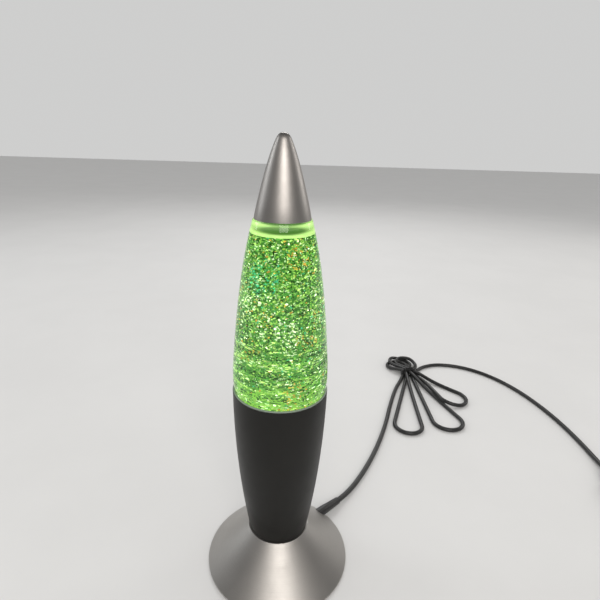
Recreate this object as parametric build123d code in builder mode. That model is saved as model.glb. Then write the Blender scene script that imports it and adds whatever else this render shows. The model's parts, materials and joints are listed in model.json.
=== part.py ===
from build123d import *
from math import cos, pi, radians, sin, sqrt, tan
import os

# Glitter lamp: silver foot and cap, dark collar, glowing bottle, and a mains lead tied in a hank.
# Millimetres, +Z up. The origin is on the table, under the lamp's axis.

os.makedirs("parts", exist_ok=True)

# ---------------------------------------------------------------- driving dimensions
lamp_height = 340.0
rim_radius = 58.3          # the foot where it meets the table
waist_radius = 23.6        # where the collar stands on the foot
waist_height = 35.7
mouth_radius = 34.9        # top of the collar
mouth_height = 162.6
bottle_radius = 34.5       # the glass at its widest
cap_radius = 18.9          # lower edge of the cap
cap_height = 287.3

sheet = 1.0                # spun aluminium of the foot and the collar
cap_sheet = 0.8
glass_wall = 2.0
hand_gap = 0.3             # between pieces that lift apart
snug_gap = 0.1             # between pieces that are fixed together

shoulder_height = cap_height - hand_gap
bottle_floor = 141.0
liquid_level = 279.0
neck_radius = 8.5
neck_top = 303.5

cord_radius = 2.5
cord_azimuth = 45.0        # where the lead leaves the foot, from +X towards +Y
plate_bottom = 1.3         # the base plate, on its rubber feet
plate_sheet = 1.2
nipple_radius = 4.95       # M10 x 1 tube that clamps the lamp together


def inset(points, wall):
    """The same outline, moved towards the axis."""
    return [(r - wall, z) for r, z in points]


def save(part, name):
    part.label = name
    export_step(part, f"parts/{name}.step")


# ---------------------------------------------------------------- cap
cap_outline = [(cap_radius, cap_height), (15.35, 303.0), (9.6, 323.8), (5.5, 334.9), (0, lamp_height)]
cap_inside = [(r - cap_sheet, z) for r, z in cap_outline[:-1]] + [(0, lamp_height - cap_sheet)]
cap_rise = (-0.17, 1.0)    # slope of the cap's side at its lower edge

with BuildPart() as cap_shell:
    with BuildSketch(Plane.XZ):
        with BuildLine():
            outer = Spline(*cap_outline, tangents=[cap_rise, (-1, 0)])
            inner = Spline(*cap_inside, tangents=[cap_rise, (-1, 0)])
            Line(outer @ 0, inner @ 0)
            Line(outer @ 1, inner @ 1)
        make_face()
    revolve(axis=Axis.Z)
save(cap_shell.part, "cap_shell")

insert_bottom = 297.0
insert_top = 302.6
closure_radius = 10.8

with BuildPart() as cap_insert:
    with BuildSketch(Plane.XZ):
        with BuildLine():
            Polyline(
                (closure_radius + hand_gap, insert_bottom),
                (15.8, insert_bottom),
                (14.4, insert_top),
                (closure_radius + hand_gap, insert_top),
                close=True,
            )
        make_face()
    revolve(axis=Axis.Z)
save(cap_insert.part, "cap_insert")

# ---------------------------------------------------------------- bottle
seat_top = mouth_height + 0.9
seat_bottom = 158.0
glass_side = [
    (31.9, 160.0),
    (bottle_radius - 0.1, 170.5),
    (bottle_radius - 0.1, 181.0),
    (32.7, 204.0),
    (29.9, 231.2),
    (25.9, 258.4),
    (20.0, 285.2),
]
heel = (27.0, bottle_floor + 2.0)
floor_radius = 24.0

with BuildPart() as bottle_glass:
    with BuildSketch(Plane.XZ):
        with BuildLine():
            side = Spline(*glass_side)
            lower = Line(heel, side @ 0)
            Spline((floor_radius, bottle_floor), heel, tangents=[(1, 0), lower % 0])
            Line((0, bottle_floor + 1.0), (floor_radius - 6, bottle_floor + 1.0))
            Line((floor_radius - 6, bottle_floor + 1.0), (floor_radius, bottle_floor))
            shoulder = Spline(side @ 1, (cap_radius - 0.3, shoulder_height), tangents=[side % 1, (-1, 0.05)])
            neck_foot = Spline(shoulder @ 1, (neck_radius, 292.5), tangents=[(-1, 0.05), (0, 1)])
            Line(neck_foot @ 1, (neck_radius, neck_top))
            Line((neck_radius, neck_top), (neck_radius - glass_wall, neck_top))
            bore = Line((neck_radius - glass_wall, neck_top), (neck_radius - glass_wall, 290.0))
            inner_side = Spline(*inset(glass_side, glass_wall))
            Spline(bore @ 1, inner_side @ 1, tangents=[(0, -1), (0.2, -1)])
            Line(inner_side @ 0, (floor_radius, bottle_floor + 4.5))
            Line((floor_radius, bottle_floor + 4.5), (0, bottle_floor + 4.5))
            Line((0, bottle_floor + 4.5), (0, bottle_floor + 1.0))
        make_face()
    revolve(axis=Axis.Z)
save(bottle_glass.part, "bottle_glass")

liquid_side = [(r, z) for r, z in inset(glass_side, glass_wall + snug_gap)]

with BuildPart() as liquid:
    with BuildSketch(Plane.XZ) as liquid_face:
        with BuildLine():
            wet = Spline(*liquid_side)
            Line(wet @ 0, (floor_radius - 0.5, bottle_floor + 4.6))
            Line((floor_radius - 0.5, bottle_floor + 4.6), (0, bottle_floor + 4.6))
            Line((0, bottle_floor + 4.6), (0, (wet @ 1).Y))
            Line((0, (wet @ 1).Y), wet @ 1)
        make_face()
    revolve(axis=Axis.Z)
    split(bisect_by=Plane.XY.offset(liquid_level), keep=Keep.BOTTOM)
save(liquid.part, "liquid")

flake_count = 60
flake_side = 2.4
flake_thickness = 0.2
flake_low = 152.0
flake_high = 274.0
golden_turn = 137.508


def flake_place(number):
    """One flake: higher and further round than the one before, at its own depth and tilt."""
    share = (number + 0.5) / flake_count
    z = flake_low + share * (flake_high - flake_low)
    reach = 26.0 - 12.0 * max(0.0, share - 0.35)
    r = reach * sqrt((number * 0.618) % 1.0)
    turn = radians(number * golden_turn)
    return Location((r * cos(turn), r * sin(turn), z), (37 * number % 180, 53 * number % 180, 71 * number % 360))


with BuildPart() as glitter:
    with Locations(*[flake_place(number) for number in range(flake_count)]):
        Box(flake_side, flake_side, flake_thickness)
save(glitter.part, "glitter")

closure_bottom = 294.0
closure_top = 306.5
closure_web = 1.6
ridge_count = 24

with BuildPart() as bottle_closure:
    with BuildSketch(Plane.XY.offset(closure_bottom)):
        Circle(closure_radius)
    extrude(amount=closure_top - closure_bottom)
    fillet(bottle_closure.edges().filter_by(GeomType.CIRCLE).sort_by(Axis.Z)[-1], radius=1.2)
    with BuildSketch(Plane.XY.offset(closure_bottom)):
        Circle(neck_radius + snug_gap)
    extrude(amount=closure_top - closure_web - closure_bottom, mode=Mode.SUBTRACT)
    with BuildSketch(Plane.XY.offset(closure_bottom)):
        with PolarLocations(closure_radius + 0.3, ridge_count):
            Circle(0.6)
    extrude(amount=9.5, mode=Mode.SUBTRACT)
save(bottle_closure.part, "bottle_closure")

with BuildPart() as closure_liner:
    with BuildSketch(Plane.XY.offset(neck_top + snug_gap)):
        Circle(neck_radius - snug_gap)
    extrude(amount=closure_top - closure_web - neck_top - 2 * snug_gap)
save(closure_liner.part, "closure_liner")

# ---------------------------------------------------------------- collar and the bottle's seat
collar_side = [(waist_radius, waist_height), (30.2, 81.6), (33.5, 120.0), (mouth_radius, mouth_height)]

with BuildPart() as collar:
    with BuildSketch(Plane.XZ):
        with BuildLine():
            outer = Spline(*collar_side)
            inner = Spline(*inset(collar_side, sheet))
            Line(outer @ 1, inner @ 1)
            Line(inner @ 0, outer @ 0)
        make_face()
    revolve(axis=Axis.Z)
    with BuildSketch(Plane.XY.offset(waist_height)):
        Circle(waist_radius - sheet / 2)
        Circle(nipple_radius + snug_gap, mode=Mode.SUBTRACT)
    extrude(amount=sheet)
save(collar.part, "collar")

with BuildPart() as bottle_seat:
    with BuildSketch(Plane.XZ):
        with BuildLine():
            Polyline(
                (31.7, seat_bottom),
                (mouth_radius - sheet - 0.35, seat_bottom),
                (mouth_radius - sheet - snug_gap, mouth_height + snug_gap),
                (mouth_radius - 0.3, mouth_height + snug_gap),
                (mouth_radius - 0.3, seat_top),
                (33.5, seat_top),
                close=True,
            )
        make_face()
    revolve(axis=Axis.Z)
save(bottle_seat.part, "bottle_seat")

# ---------------------------------------------------------------- foot
rim_bottom = 0.9
rim_band = 1.5             # height of the upright edge round the foot
foot_top_radius = waist_radius + 0.9
foot_slope = (foot_top_radius - rim_radius) / (waist_height - rim_bottom - rim_band)
wall_across = sheet * sqrt(1 + foot_slope**2)      # the sloping wall, measured along a radius


def foot_inside(z):
    """Inner radius of the foot's cone at a height."""
    return rim_radius + foot_slope * (z - rim_bottom - rim_band) - wall_across


relief_drop = 6.0          # the strain relief points down by this angle, in degrees
relief_start = 43.0        # its inner end, from the lamp's axis
relief_height = 8.4        # its middle there
relief_length = 35.0
relief_path = Plane(
    origin=(relief_start * cos(radians(cord_azimuth)), relief_start * sin(radians(cord_azimuth)), relief_height),
    z_dir=(
        cos(radians(relief_drop)) * cos(radians(cord_azimuth)),
        cos(radians(relief_drop)) * sin(radians(cord_azimuth)),
        -sin(radians(relief_drop)),
    ),
    x_dir=(-sin(radians(cord_azimuth)), cos(radians(cord_azimuth)), 0),
)
relief_waist = 4.2         # radius where it passes through the foot
relief_flange = 5.0

with BuildPart() as base_foot:
    with BuildSketch(Plane.XZ):
        with BuildLine():
            Polyline(
                (rim_radius, rim_bottom),
                (rim_radius, rim_bottom + rim_band),
                (foot_top_radius, waist_height - 0.05),
                (nipple_radius + snug_gap, waist_height - 0.05),
                (nipple_radius + snug_gap, waist_height - sheet),
                (foot_inside(waist_height - sheet), waist_height - sheet),
                (foot_inside(rim_bottom + rim_band), rim_bottom + rim_band),
                (foot_inside(rim_bottom + rim_band), rim_bottom),
                close=True,
            )
        make_face()
    revolve(axis=Axis.Z)
    with BuildSketch(relief_path):
        Circle(relief_waist + snug_gap)
        with Locations((0, -6)):
            Rectangle(2 * (relief_waist + snug_gap), 12)
    extrude(amount=18, mode=Mode.SUBTRACT)
save(base_foot.part, "base_foot")

# ---------------------------------------------------------------- base plate, its lugs, screws and rubber feet
plate_radius = foot_inside(rim_bottom + rim_band) - hand_gap
plate_top = plate_bottom + plate_sheet
screw_circle = 45.0
screw_start = 105.0        # azimuth of the first screw
pad_circle = 44.0
pad_start = 165.0          # azimuth of the first rubber foot
vent_circle = 17.0

with BuildPart() as base_plate:
    with BuildSketch(Plane.XY.offset(plate_bottom)):
        Circle(plate_radius)
        with PolarLocations(screw_circle, 3, start_angle=screw_start):
            Circle(1.7, mode=Mode.SUBTRACT)
        with PolarLocations(vent_circle, 6):
            SlotOverall(14, 3.4, mode=Mode.SUBTRACT)
    extrude(amount=plate_sheet)
save(base_plate.part, "base_plate")

lug_reach = 39.0
lug_top = 13.0
lug_width = 10.0

with BuildPart() as plate_lugs:
    for number in range(3):
        lug_plane = Plane.XZ.rotated((0, 0, screw_start + 120 * number))
        with BuildSketch(lug_plane):
            with BuildLine():
                Polyline(
                    (lug_reach, plate_top),
                    (foot_inside(plate_top) - hand_gap, plate_top),
                    (foot_inside(lug_top) - hand_gap, lug_top),
                    (foot_inside(lug_top) - hand_gap - wall_across, lug_top),
                    (foot_inside(plate_top + sheet) - hand_gap - wall_across, plate_top + sheet),
                    (lug_reach, plate_top + sheet),
                    close=True,
                )
            make_face()
        extrude(amount=lug_width / 2, both=True)
    with BuildSketch(Plane.XY.offset(plate_top)):
        with PolarLocations(screw_circle, 3, start_angle=screw_start):
            Circle(1.55)
    extrude(amount=sheet, mode=Mode.SUBTRACT)
save(plate_lugs.part, "plate_lugs")


def pan_screw(head_radius, head_height, shank_radius, shank_length):
    """A screw that points up from its head, with a cross slot; its head's upper face is at zero."""
    with BuildPart(mode=Mode.PRIVATE) as screw:
        Cylinder(head_radius, head_height, align=(Align.CENTER, Align.CENTER, Align.MAX))
        fillet(screw.edges().filter_by(GeomType.CIRCLE).sort_by(Axis.Z)[0], radius=0.45 * head_height)
        Cylinder(shank_radius, shank_length, align=(Align.CENTER, Align.CENTER, Align.MIN))
        chamfer(screw.edges().filter_by(GeomType.CIRCLE).sort_by(Axis.Z)[-1], length=0.5 * shank_radius)
        with Locations((0, 0, -head_height)):
            Box(1.2 * head_radius, 0.25 * head_radius, head_height, mode=Mode.SUBTRACT)
            Box(0.25 * head_radius, 1.2 * head_radius, head_height, mode=Mode.SUBTRACT)
    return screw.part


with BuildPart() as plate_screws:
    with PolarLocations(screw_circle, 3, start_angle=screw_start):
        add(pan_screw(3.0, 1.1, 1.45, 7.0).moved(Location((0, 0, plate_bottom - 0.02))))
save(plate_screws.part, "plate_screws")

with BuildPart() as rubber_feet:
    with BuildSketch():
        with PolarLocations(pad_circle, 3, start_angle=pad_start):
            Circle(5.5)
    extrude(amount=plate_bottom - 0.02)
    fillet(rubber_feet.edges().filter_by(GeomType.CIRCLE).group_by(Axis.Z)[0], radius=0.4)
save(rubber_feet.part, "rubber_feet")

# ---------------------------------------------------------------- clamping tube, nuts and washer
web_bottom = waist_height - sheet
washer_thickness = 0.6
nut_height = 3.0
nut_across = 14.0
nipple_bottom = 27.0
nipple_top = 48.0
nipple_bore = 3.4
flange_top = waist_height + sheet

with BuildPart() as threaded_nipple:
    with BuildSketch(Plane.XY.offset(nipple_bottom)):
        Circle(nipple_radius)
        Circle(nipple_bore, mode=Mode.SUBTRACT)
    extrude(amount=nipple_top - nipple_bottom)
    chamfer(threaded_nipple.edges().filter_by(GeomType.CIRCLE).group_by(Axis.Z)[0].sort_by(SortBy.RADIUS)[-1], 0.5)
save(threaded_nipple.part, "threaded_nipple")

with BuildPart() as nipple_washer:
    with BuildSketch(Plane.XY.offset(web_bottom - 0.05 - washer_thickness)):
        Circle(8.8)
        with PolarLocations(8.8, 16):
            Circle(0.7, mode=Mode.SUBTRACT)
        Circle(nipple_radius + snug_gap, mode=Mode.SUBTRACT)
    extrude(amount=washer_thickness)
save(nipple_washer.part, "nipple_washer")

with BuildPart() as nipple_nuts:
    for nut_bottom in (web_bottom - 0.1 - washer_thickness - nut_height, flange_top + 0.05):
        with BuildSketch(Plane.XY.offset(nut_bottom)):
            RegularPolygon(nut_across / 2, 6, major_radius=False)
            Circle(nipple_radius + 0.03, mode=Mode.SUBTRACT)
        extrude(amount=nut_height)
save(nipple_nuts.part, "nipple_nuts")

# ---------------------------------------------------------------- lamp holder, E14
holder_radius = 13.4
dome_bottom = flange_top + nut_height + 0.3
dome_top = 57.0
skirt_top = 79.0
sleeve_inner = 7.1         # takes the 13.9 mm screw cap of the bulb
sleeve_wall = 0.4

with BuildPart() as holder_dome:
    with BuildSketch(Plane.XZ):
        with BuildLine():
            Polyline((nipple_radius + 0.03, dome_bottom), (9.0, dome_bottom), (9.0, 43.5))
            swell = Spline((9.0, 43.5), (holder_radius, 50.0), tangents=[(1, 0.3), (0, 1)])
            Polyline(
                swell @ 1,
                (holder_radius, dome_top),
                (holder_radius - 1.6, dome_top),
                (holder_radius - 1.6, 50.4),
                (nipple_radius + 0.03, 48.2),
                (nipple_radius + 0.03, dome_bottom),
            )
        make_face()
    revolve(axis=Axis.Z)
save(holder_dome.part, "holder_dome")

with BuildPart() as holder_skirt:
    with BuildSketch(Plane.XZ):
        with BuildLine():
            Polyline(
                (holder_radius, dome_top + 0.05),
                (holder_radius, skirt_top - 1.5),
                (holder_radius - 1.0, skirt_top),
                (sleeve_inner + 0.5, skirt_top),
                (sleeve_inner + 0.5, skirt_top - 1.2),
                (holder_radius - 1.8, skirt_top - 3.0),
                (holder_radius - 1.8, dome_top + 0.05),
                close=True,
            )
        make_face()
    revolve(axis=Axis.Z)
    with BuildSketch(Plane.XY.offset(dome_top + 3)):
        with PolarLocations(holder_radius + 0.35, 20):
            Circle(0.8)
    extrude(amount=13, mode=Mode.SUBTRACT)
save(holder_skirt.part, "holder_skirt")

insert_floor = 53.0
terminal_reach = 7.6       # the terminals, from the axis

with BuildPart() as holder_insert:
    with BuildSketch(Plane.XY.offset(insert_floor)):
        Circle(holder_radius - 2.0)
        with Locations((terminal_reach, 0), (-terminal_reach, 0)):
            Rectangle(4.4, 7.4, mode=Mode.SUBTRACT)
    extrude(amount=6.0)
    with BuildSketch(Plane.XY.offset(insert_floor + 6.0)):
        Circle(holder_radius - 2.3)
        Circle(sleeve_inner + sleeve_wall + 0.05, mode=Mode.SUBTRACT)
    extrude(amount=4.0)
save(holder_insert.part, "holder_insert")

sleeve_bottom = insert_floor + 6.05
sleeve_top = 75.5

with BuildPart() as holder_sleeve:
    with BuildSketch(Plane.XZ):
        with BuildLine():
            Polyline(
                (sleeve_inner, sleeve_bottom + sleeve_wall),
                (sleeve_inner, sleeve_top),
                (sleeve_inner + sleeve_wall, sleeve_top),
                (sleeve_inner + sleeve_wall, sleeve_bottom),
                (4.2, sleeve_bottom),
                (4.2, sleeve_bottom + sleeve_wall),
                close=True,
            )
        make_face()
    revolve(axis=Axis.Z)
    for number in range(4):
        with BuildSketch(Plane.XZ):
            with Locations((sleeve_inner + sleeve_wall + 0.15, 65.0 + 2.82 * number)):
                Circle(0.35)
        revolve(axis=Axis.Z, mode=Mode.SUBTRACT)
save(holder_sleeve.part, "holder_sleeve")

tongue_top = 61.35

with BuildPart() as holder_contact:
    with BuildSketch(Plane.XZ):
        with BuildLine():
            Polyline((-3.4, 59.1), (-3.4, 59.6), (-1.6, 59.6), (1.2, tongue_top), (2.6, tongue_top))
            Polyline((2.6, tongue_top), (2.6, tongue_top - 0.5), (1.35, tongue_top - 0.5), (-1.4, 59.1), (-3.4, 59.1))
        make_face()
    extrude(amount=1.5, both=True)
save(holder_contact.part, "holder_contact")

with BuildPart() as holder_terminals:
    with Locations((terminal_reach, 0, 55.6), (-terminal_reach, 0, 55.6)):
        Box(4.0, 5.0, 4.6)
    with Locations(Location((terminal_reach, 2.6, 56.2), (90, 0, 0)), Location((-terminal_reach, 2.6, 56.2), (90, 0, 0))):
        Cylinder(1.2, 1.0)
save(holder_terminals.part, "holder_terminals")

# ---------------------------------------------------------------- bulb, E14 reflector, 39 mm across
bulb_bottom = 61.6
cap_bottom = 63.9
cap_top = 77.5
bulb_cap_radius = 6.95
bulb_radius = 19.5
bulb_top = 126.6
thread_pitch = 2.82
neck_of_bulb = [(6.3, 76.0), (6.5, 80.0), (9.0, 89.0), (15.5, 102.0), (bulb_radius, 113.5)]

with BuildPart() as bulb_tip:
    with BuildSketch(Plane.XZ):
        with BuildLine():
            Line((0, bulb_bottom), (0, cap_bottom - 1.1))
            Line((0, cap_bottom - 1.1), (2.4, cap_bottom - 1.1))
            Spline((2.4, cap_bottom - 1.1), (0, bulb_bottom), tangents=[(0, -1), (-1, 0)])
        make_face()
    revolve(axis=Axis.Z)
save(bulb_tip.part, "bulb_tip")

with BuildPart() as bulb_insulator:
    with BuildSketch(Plane.XZ):
        with BuildLine():
            Polyline(
                (0, cap_bottom - 1.0),
                (3.4, cap_bottom - 1.0),
                (5.2, cap_bottom + 0.6),
                (5.2, cap_bottom + 1.2),
                (0, cap_bottom + 1.2),
                close=True,
            )
        make_face()
    revolve(axis=Axis.Z)
save(bulb_insulator.part, "bulb_insulator")

with BuildPart() as bulb_cap:
    with BuildSketch(Plane.XZ):
        with BuildLine():
            Polyline(
                (5.3, cap_bottom),
                (5.9, cap_bottom),
                (bulb_cap_radius, cap_bottom + 1.6),
                (bulb_cap_radius, cap_top),
                (bulb_cap_radius - 0.35, cap_top),
                (bulb_cap_radius - 0.35, cap_bottom + 1.8),
                (5.3, cap_bottom + 0.8),
                close=True,
            )
        make_face()
    revolve(axis=Axis.Z)
    for number in range(3):
        with BuildSketch(Plane.XZ):
            with Locations((bulb_cap_radius + 0.3, cap_bottom + 3.4 + thread_pitch * number)):
                Circle(0.5)
        revolve(axis=Axis.Z, mode=Mode.SUBTRACT)
save(bulb_cap.part, "bulb_cap")

bulb_wall = 0.7

with BuildPart() as bulb_glass:
    with BuildSketch(Plane.XZ):
        with BuildLine():
            outer = Spline(*neck_of_bulb, tangents=[(0, 1), (0, 1)])
            band = Line(outer @ 1, (bulb_radius, 118.0))
            crown = Spline(band @ 1, (0, bulb_top), tangents=[(0, 1), (-1, 0)])
            inner = Spline(*inset(neck_of_bulb, bulb_wall), tangents=[(0, 1), (0, 1)])
            inner_band = Line(inner @ 1, (bulb_radius - bulb_wall, 118.0))
            Spline(inner_band @ 1, (0, bulb_top - bulb_wall), tangents=[(0, 1), (-1, 0)])
            Line((0, bulb_top), (0, bulb_top - bulb_wall))
            Line(outer @ 0, inner @ 0)
        make_face()
    revolve(axis=Axis.Z)
save(bulb_glass.part, "bulb_glass")

stem_top = 92.0
filament_height = 103.0

with BuildPart() as bulb_stem:
    with BuildSketch(Plane.XZ):
        with BuildLine():
            Polyline((0, 77.0), (5.2, 77.0), (5.2, 77.8), (2.6, 82.0), (2.2, stem_top), (0, stem_top), close=True)
        make_face()
    revolve(axis=Axis.Z)
save(bulb_stem.part, "bulb_stem")

with BuildPart() as filament:
    for side_of_stem in (-1, 1):
        with BuildLine():
            support = FilletPolyline(
                (side_of_stem * 1.2, 0, stem_top + 0.05),
                (side_of_stem * 1.2, 0, 95.0),
                (side_of_stem * 6.0, 0, filament_height),
                radius=2.0,
            )
        with BuildSketch(Plane(origin=support @ 0, z_dir=support % 0)):
            Circle(0.3)
        sweep()
    with BuildLine():
        coil = ThreePointArc((-6, 0, filament_height), (0, 2.5, filament_height), (6, 0, filament_height))
    with BuildSketch(Plane(origin=coil @ 0, z_dir=coil % 0)):
        Circle(0.45)
    sweep()
save(filament.part, "filament")

# ---------------------------------------------------------------- strain relief and the lead inside the foot
with BuildPart() as strain_relief:
    with BuildSketch(Plane(origin=relief_path.origin, x_dir=relief_path.z_dir, z_dir=relief_path.x_dir)):
        with BuildLine():
            Polyline(
                (0, cord_radius + 0.05),
                (0, relief_flange),
                (1.8, relief_flange),
                (1.8, relief_waist),
                (14.0, relief_waist),
                (relief_length, cord_radius + 0.8),
                (relief_length, cord_radius + 0.05),
                close=True,
            )
        make_face()
    revolve(axis=Axis(relief_path.origin, relief_path.z_dir))
save(strain_relief.part, "strain_relief")


def tube(points, radius):
    """A round lead along straight runs joined by arcs, each as large as its two runs allow."""
    route = [Vector(*point) for point in points]
    bends = []
    for before, corner, after in zip(route, route[1:], route[2:]):
        turn = (corner - before).get_angle(after - corner)
        shorter = min((corner - before).length, (after - corner).length)
        bends.append(0.45 * shorter / tan(radians(turn) / 2))
    with BuildPart(mode=Mode.PRIVATE) as lead:
        with BuildLine():
            path = FilletPolyline(*points, radius=bends)
        with BuildSketch(Plane(origin=path @ 0, z_dir=path % 0)):
            Circle(radius)
        sweep()
    print(f"bend radii {[round(bend) for bend in bends]}, tightest {min(bends):.1f}, length {path.length:.0f}")
    print(f"volume / (section x length) = {lead.part.volume / (pi * radius**2 * path.length):.4f}")
    return lead.part


def on_azimuth(r, z, azimuth=cord_azimuth):
    """A point at a distance from the lamp's axis, in the direction where the lead leaves."""
    return (r * cos(radians(azimuth)), r * sin(radians(azimuth)), z)


relief_tip = relief_path.origin + relief_path.z_dir * relief_length
inner_lead_route = [
    tuple(relief_tip - relief_path.z_dir * 0.2),
    tuple(relief_path.origin - relief_path.z_dir * 6.0),
    on_azimuth(27.0, 5.3),
    on_azimuth(17.0, 6.4),
    on_azimuth(7.0, 11.0),
    on_azimuth(1.5, 18.0),
]
inner_lead = tube(inner_lead_route, cord_radius)
save(inner_lead, "inner_lead")

# two insulated wires, from the end of the sheath up through the clamping tube to the holder's terminals
wire_radius = 0.9
sheath_end = Vector(*inner_lead_route[-1])
wires = []
for side_of_holder in (-1, 1):
    wires.append(
        tube(
            [
                (sheath_end.X + side_of_holder * 0.9, sheath_end.Y - side_of_holder * 0.9, sheath_end.Z + 1.4),
                (side_of_holder * 1.2, 0, 24.0),
                (side_of_holder * 1.25, 0.05, 48.8),
                (side_of_holder * 7.4, 0, 50.6),
                (side_of_holder * terminal_reach, 0, 53.25),
            ],
            wire_radius,
        )
    )
save(wires[0], "neutral_wire")
save(wires[1], "live_wire")

clamp_reach = 27.0
clamp_plane = Plane(
    origin=on_azimuth(clamp_reach, plate_top + 0.05),
    x_dir=(-sin(radians(cord_azimuth)), cos(radians(cord_azimuth)), 0),
    z_dir=(0, 0, 1),
)
clamp_height = 8.4
clamp_screw_offset = 6.6

with BuildPart() as cord_clamp:
    with BuildSketch(clamp_plane):
        RectangleRounded(20.0, 6.0, 2.5)
        with Locations((clamp_screw_offset, 0), (-clamp_screw_offset, 0)):
            Circle(1.3, mode=Mode.SUBTRACT)
    extrude(amount=clamp_height)
    with BuildSketch(clamp_plane):
        Rectangle(2 * cord_radius + 0.3, 7.0)
    extrude(amount=6.7, mode=Mode.SUBTRACT)
save(cord_clamp.part, "cord_clamp")

with BuildPart() as clamp_screws:
    for offset in (-clamp_screw_offset, clamp_screw_offset):
        place = clamp_plane.location * Location((offset, 0, clamp_height + 0.02), (180, 0, 0))
        add(pan_screw(2.3, 1.2, 1.2, 7.4).moved(place))
save(clamp_screws.part, "clamp_screws")

# ---------------------------------------------------------------- the lead on the table
lead_route = [
    tuple(relief_tip),
    (66.0, 66.5, 2.9),
    (86.0, 98.0, 2.5),
    (106.0, 138.0, 2.5),
    (124.0, 184.0, 2.5),
    (138.0, 230.0, 2.5),
    (153.0, 272.0, 2.7),
    (169.0, 302.0, 3.2),
]
save(tube(lead_route, cord_radius), "cord_lead")

# hank: three long loops that fan out below the tie, and three small folds above it
tie_place = (182.0, 316.0)
tie_turn = -78.0           # the way the long loops lie
bundle_width = 24.0
bundle_bottom = 1.0
bundle_top = 11.2
bundle_length = 8.0
loops_top = 8.0
folds_top = 10.6
# length, half width, fan angle
long_loops = [(150.0, 17.0, -24.5), (140.0, 19.0, -1.0), (98.0, 20.0, 23.0)]
small_folds = [(44.0, 15.4, 194.5), (49.5, 16.2, 181.0), (45.0, 15.6, 167.0)]

hank_plane = Plane(
    origin=(*tie_place, 0),
    x_dir=(cos(radians(tie_turn)), sin(radians(tie_turn)), 0),
    z_dir=(0, 0, 1),
)


def loop_end(length, half_width, fan):
    """Centre of the round end of a loop, in the hank's plane."""
    reach = length - half_width
    return (reach * cos(radians(fan)), reach * sin(radians(fan)))


with BuildPart() as cord_hank:
    with BuildSketch(hank_plane):
        with Locations((bundle_length / 2 + 1, 0)):
            Rectangle(2, bundle_width)
        for length, half_width, fan in long_loops:
            with Locations(loop_end(length, half_width, fan)):
                Circle(half_width + cord_radius)
        make_hull()
    extrude(amount=loops_top)
    with BuildSketch(hank_plane):
        with Locations((-bundle_length / 2 - 1, 0)):
            Rectangle(2, bundle_width)
        for length, half_width, fan in small_folds:
            with Locations(loop_end(length, half_width, fan)):
                Circle(half_width + cord_radius)
        make_hull()
    extrude(amount=folds_top)
    with BuildSketch(hank_plane.offset(bundle_bottom)):
        Rectangle(bundle_length + 2, bundle_width)
    extrude(amount=bundle_top - bundle_bottom)
save(cord_hank.part, "cord_hank")

tie_wire = 0.8
tie_width = 4.0

with BuildPart() as hank_tie:
    with BuildSketch(hank_plane.offset(bundle_bottom - tie_wire)):
        Rectangle(tie_width, bundle_width + 2 * tie_wire + 0.2)
    extrude(amount=bundle_top - bundle_bottom + 2 * tie_wire + 0.1)
    with BuildSketch(hank_plane.offset(bundle_bottom - 0.01)):
        Rectangle(tie_width + 2, bundle_width + 0.1)
    extrude(amount=bundle_top - bundle_bottom + 0.06, mode=Mode.SUBTRACT)
    with BuildSketch(hank_plane.offset(bundle_top + tie_wire)):
        with Locations((0, -3.0)):
            RectangleRounded(3.2, 17.0, 1.2)
    extrude(amount=2.2)
save(hank_tie.part, "hank_tie")

# ---------------------------------------------------------------- inline switch
switch_length = 60.0
switch_width = 22.0
switch_bottom = 0.0
switch_seam = 6.5
switch_top = 16.0
switch_wall = 1.7
switch_place = (349.0, 68.0)
switch_turn = -95.0        # from the lamp's end of the switch towards the plug's end
switch_plane = Plane(
    origin=(*switch_place, 0),
    x_dir=(cos(radians(switch_turn)), sin(radians(switch_turn)), 0),
    z_dir=(0, 0, 1),
)
rocker_length = 15.0
rocker_width = 9.4
rocker_height = 12.6       # its pivot, above the table
rocker_tilt = 9.0          # each way from level
pivot_radius = 1.2
switch_screw_offset = 21.5
screw_post = 3.0

with BuildPart() as switch_lower:
    with BuildSketch(switch_plane.offset(switch_bottom)):
        RectangleRounded(switch_length, switch_width, 7.0)
    extrude(amount=switch_seam - switch_bottom - 0.02)
    chamfer(switch_lower.edges().group_by(Axis.Z)[0], length=0.8)
    with BuildSketch(switch_plane.offset(switch_bottom + switch_wall)):
        RectangleRounded(switch_length - 2 * switch_wall, switch_width - 2 * switch_wall, 5.4)
        with Locations((switch_screw_offset, -5.5), (-switch_screw_offset, 5.5)):
            Circle(screw_post, mode=Mode.SUBTRACT)
    extrude(amount=switch_seam, mode=Mode.SUBTRACT)
    with BuildSketch(switch_plane):
        with Locations((switch_screw_offset, -5.5), (-switch_screw_offset, 5.5)):
            Circle(1.35)
    extrude(amount=switch_seam + 1, mode=Mode.SUBTRACT)
    with BuildSketch(switch_plane):
        with Locations((switch_screw_offset, -5.5), (-switch_screw_offset, 5.5)):
            Circle(2.4)
    extrude(amount=2.3, mode=Mode.SUBTRACT)
    with BuildSketch(Plane(origin=switch_plane.origin + Vector(0, 0, switch_seam), z_dir=switch_plane.x_dir)):
        Circle(cord_radius + 0.1)
    extrude(amount=switch_length, both=True, mode=Mode.SUBTRACT)
save(switch_lower.part, "switch_lower")

cheek_gap = rocker_width / 2 + 0.3
cheek_thickness = 1.4
pivot_plane = Plane(
    origin=switch_plane.origin + Vector(0, 0, rocker_height),
    x_dir=switch_plane.x_dir,
    z_dir=switch_plane.y_dir * -1,
)

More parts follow.
